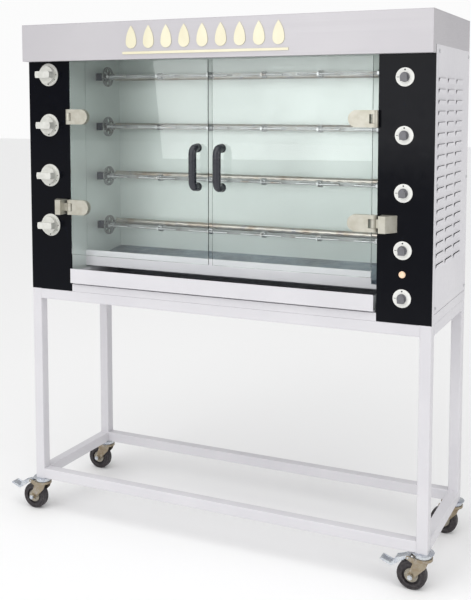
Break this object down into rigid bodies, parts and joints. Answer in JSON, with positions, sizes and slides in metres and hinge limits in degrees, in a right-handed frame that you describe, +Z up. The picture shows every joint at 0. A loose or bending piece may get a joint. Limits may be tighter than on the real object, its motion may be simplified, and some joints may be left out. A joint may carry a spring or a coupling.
{
  "type": "rotisserie oven",
  "caption": "Wheeled rotisserie oven: tall glass-doored roasting cavity with horizontal turning spits, control columns, drip tray and tube stand on casters.",
  "frame": {"origin": "on the floor, under the middle of the whole outline, casters and pedals included", "axes": "+Z up, front with the glass doors towards -Y, gas taps on the -X side and switches on the +X side"},
  "size_m": [1.527, 0.54, 1.698],
  "materials": {
    "white_steel": "white powder coat",
    "brushed_steel": "fine horizontal brushing",
    "polished_steel": "polished, reflective",
    "dark_steel": "heat-darkened steel",
    "gloss_black": "glossy black printed panel",
    "cream_sign": "cream acrylic",
    "burner_steel": "heat-tinted stainless",
    "brass": "plain brass",
    "motor_grey": "grey enamel",
    "silver_bezel": "satin silver",
    "silver_knob": "silver-white moulding",
    "white_plastic": "white moulding",
    "grey_knob": "dark grey moulding",
    "lamp_lens": "translucent orange lens",
    "satin_metal": "satin cast metal",
    "black_plastic": "black nylon",
    "zinc": "bright zinc plate",
    "spit_steel": "stainless bar",
    "door_glass": "clear toughened glass",
    "handle_black": "charcoal moulding",
    "tyre_rubber": "dark grey rubber"
  },
  "bodies": {
    "oven": {"stand_frame": "white_steel", "caster_heads": "zinc", "base_pan": "white_steel", "left_fascia": "gloss_black", "right_fascia": "gloss_black", "left_side_panel": "white_steel", "right_side_panel": "white_steel", "rear_panel": "white_steel", "top_panel": "brushed_steel", "header_canopy": "brushed_steel", "sign_flames": "cream_sign", "cavity_side_walls": "polished_steel", "back_wall": "polished_steel", "ceiling_panel": "polished_steel", "cavity_floor": "dark_steel", "sill": "white_steel", "burner_tubes": "burner_steel", "gas_train": "brass", "gearmotors": "motor_grey", "spit_bearings": "dark_steel", "tap_bezels": "silver_bezel", "switch_housings": "white_plastic", "indicator_lamp": "lamp_lens", "hinge_brackets": "satin_metal", "cable_gland": "black_plastic", "panel_screws": "zinc"},
    "spit_1": {"spit_1": "spit_steel", "spit_forks_1": "spit_steel"},
    "spit_2": {"spit_2": "spit_steel", "spit_forks_2": "spit_steel"},
    "spit_3": {"spit_3": "spit_steel", "spit_forks_3": "spit_steel"},
    "spit_4": {"spit_4": "spit_steel", "spit_forks_4": "spit_steel"},
    "tap_knob_1": {"tap_knob_1": "silver_knob"},
    "tap_knob_2": {"tap_knob_2": "silver_knob"},
    "tap_knob_3": {"tap_knob_3": "silver_knob"},
    "tap_knob_4": {"tap_knob_4": "silver_knob"},
    "switch_knob_1": {"switch_knob_1": "grey_knob"},
    "switch_knob_2": {"switch_knob_2": "grey_knob"},
    "switch_knob_3": {"switch_knob_3": "grey_knob"},
    "switch_knob_4": {"switch_knob_4": "grey_knob"},
    "switch_knob_5": {"switch_knob_5": "grey_knob"},
    "left_door": {"left_door_glass": "door_glass", "left_door_clamps": "satin_metal", "left_door_handle": "handle_black"},
    "right_door": {"right_door_glass": "door_glass", "right_door_clamps": "satin_metal", "right_door_handle": "handle_black"},
    "drip_tray": {"drip_tray": "white_steel"},
    "caster_fl": {"caster_fork_fl": "zinc"},
    "wheel_fl": {"caster_wheel_fl": "tyre_rubber"},
    "caster_fr": {"caster_fork_fr": "zinc"},
    "wheel_fr": {"caster_wheel_fr": "tyre_rubber"},
    "caster_rl": {"caster_fork_rl": "zinc"},
    "wheel_rl": {"caster_wheel_rl": "tyre_rubber"},
    "caster_rr": {"caster_fork_rr": "zinc"},
    "wheel_rr": {"caster_wheel_rr": "tyre_rubber"},
    "pedal_fl": {"brake_pedal_fl": "zinc"},
    "pedal_fr": {"brake_pedal_fr": "zinc"}
  },
  "joints": [
    {"name": "spit_1_turn", "type": "hinge", "parent": "oven", "child": "spit_1", "pos_m": [0.047, -0.027, 1.009], "axis": [1, 0, 0], "continuous": true},
    {"name": "spit_2_turn", "type": "hinge", "parent": "oven", "child": "spit_2", "pos_m": [0.047, -0.027, 1.182], "axis": [1, 0, 0], "continuous": true},
    {"name": "spit_3_turn", "type": "hinge", "parent": "oven", "child": "spit_3", "pos_m": [0.047, -0.027, 1.355], "axis": [1, 0, 0], "continuous": true},
    {"name": "spit_4_turn", "type": "hinge", "parent": "oven", "child": "spit_4", "pos_m": [0.047, -0.027, 1.528], "axis": [1, 0, 0], "continuous": true},
    {"name": "tap_1_turn", "type": "hinge", "parent": "oven", "child": "tap_knob_1", "pos_m": [-0.571, -0.212, 1.022], "axis": [0, -1, 0], "range_deg": [0, 180]},
    {"name": "tap_2_turn", "type": "hinge", "parent": "oven", "child": "tap_knob_2", "pos_m": [-0.571, -0.212, 1.192], "axis": [0, -1, 0], "range_deg": [0, 180]},
    {"name": "tap_3_turn", "type": "hinge", "parent": "oven", "child": "tap_knob_3", "pos_m": [-0.571, -0.212, 1.362], "axis": [0, -1, 0], "range_deg": [0, 180]},
    {"name": "tap_4_turn", "type": "hinge", "parent": "oven", "child": "tap_knob_4", "pos_m": [-0.571, -0.212, 1.532], "axis": [0, -1, 0], "range_deg": [0, 180]},
    {"name": "switch_1_turn", "type": "hinge", "parent": "oven", "child": "switch_knob_1", "pos_m": [0.659, -0.21, 1.012], "axis": [0, 1, 0], "range_deg": [0, 90]},
    {"name": "switch_2_turn", "type": "hinge", "parent": "oven", "child": "switch_knob_2", "pos_m": [0.659, -0.21, 1.178], "axis": [0, 1, 0], "range_deg": [0, 90]},
    {"name": "switch_3_turn", "type": "hinge", "parent": "oven", "child": "switch_knob_3", "pos_m": [0.659, -0.21, 1.344], "axis": [0, 1, 0], "range_deg": [0, 90]},
    {"name": "switch_4_turn", "type": "hinge", "parent": "oven", "child": "switch_knob_4", "pos_m": [0.659, -0.21, 1.51], "axis": [0, 1, 0], "range_deg": [0, 90]},
    {"name": "switch_5_turn", "type": "hinge", "parent": "oven", "child": "switch_knob_5", "pos_m": [0.659, -0.21, 0.872], "axis": [0, 1, 0], "range_deg": [0, 90]},
    {"name": "left_door_swing", "type": "hinge", "parent": "oven", "child": "left_door", "pos_m": [-0.482, -0.217, 1.248], "axis": [0, 0, -1], "range_deg": [0, 105]},
    {"name": "right_door_swing", "type": "hinge", "parent": "oven", "child": "right_door", "pos_m": [0.576, -0.217, 1.248], "axis": [0, 0, 1], "range_deg": [0, 105]},
    {"name": "tray_slide", "type": "slide", "parent": "oven", "child": "drip_tray", "axis": [0, -1, 0], "range_m": [0, 0.26]},
    {"name": "caster_fl_swivel", "type": "hinge", "parent": "oven", "child": "caster_fl", "pos_m": [-0.6355, -0.1845, 0.095], "axis": [0, 0, 1], "continuous": true},
    {"name": "wheel_fl_roll", "type": "hinge", "parent": "caster_fl", "child": "wheel_fl", "pos_m": [-0.6675, -0.1845, 0.045], "axis": [0, 1, 0], "continuous": true},
    {"name": "caster_fr_swivel", "type": "hinge", "parent": "oven", "child": "caster_fr", "pos_m": [0.7295, -0.1845, 0.095], "axis": [0, 0, 1], "continuous": true},
    {"name": "wheel_fr_roll", "type": "hinge", "parent": "caster_fr", "child": "wheel_fr", "pos_m": [0.6975, -0.1845, 0.045], "axis": [0, 1, 0], "continuous": true},
    {"name": "caster_rl_swivel", "type": "hinge", "parent": "oven", "child": "caster_rl", "pos_m": [-0.6355, 0.2305, 0.095], "axis": [0, 0, 1], "continuous": true},
    {"name": "wheel_rl_roll", "type": "hinge", "parent": "caster_rl", "child": "wheel_rl", "pos_m": [-0.6675, 0.2305, 0.045], "axis": [0, 1, 0], "continuous": true},
    {"name": "caster_rr_swivel", "type": "hinge", "parent": "oven", "child": "caster_rr", "pos_m": [0.7295, 0.2305, 0.095], "axis": [0, 0, 1], "continuous": true},
    {"name": "wheel_rr_roll", "type": "hinge", "parent": "caster_rr", "child": "wheel_rr", "pos_m": [0.6975, 0.2305, 0.045], "axis": [0, 1, 0], "continuous": true},
    {"name": "brake_fl_press", "type": "hinge", "parent": "caster_fl", "child": "pedal_fl", "pos_m": [-0.67705, -0.1845, 0.09916], "axis": [0, -1, 0], "range_deg": [0, 8]},
    {"name": "brake_fr_press", "type": "hinge", "parent": "caster_fr", "child": "pedal_fr", "pos_m": [0.68795, -0.1845, 0.09916], "axis": [0, -1, 0], "range_deg": [0, 8]}
  ]
}
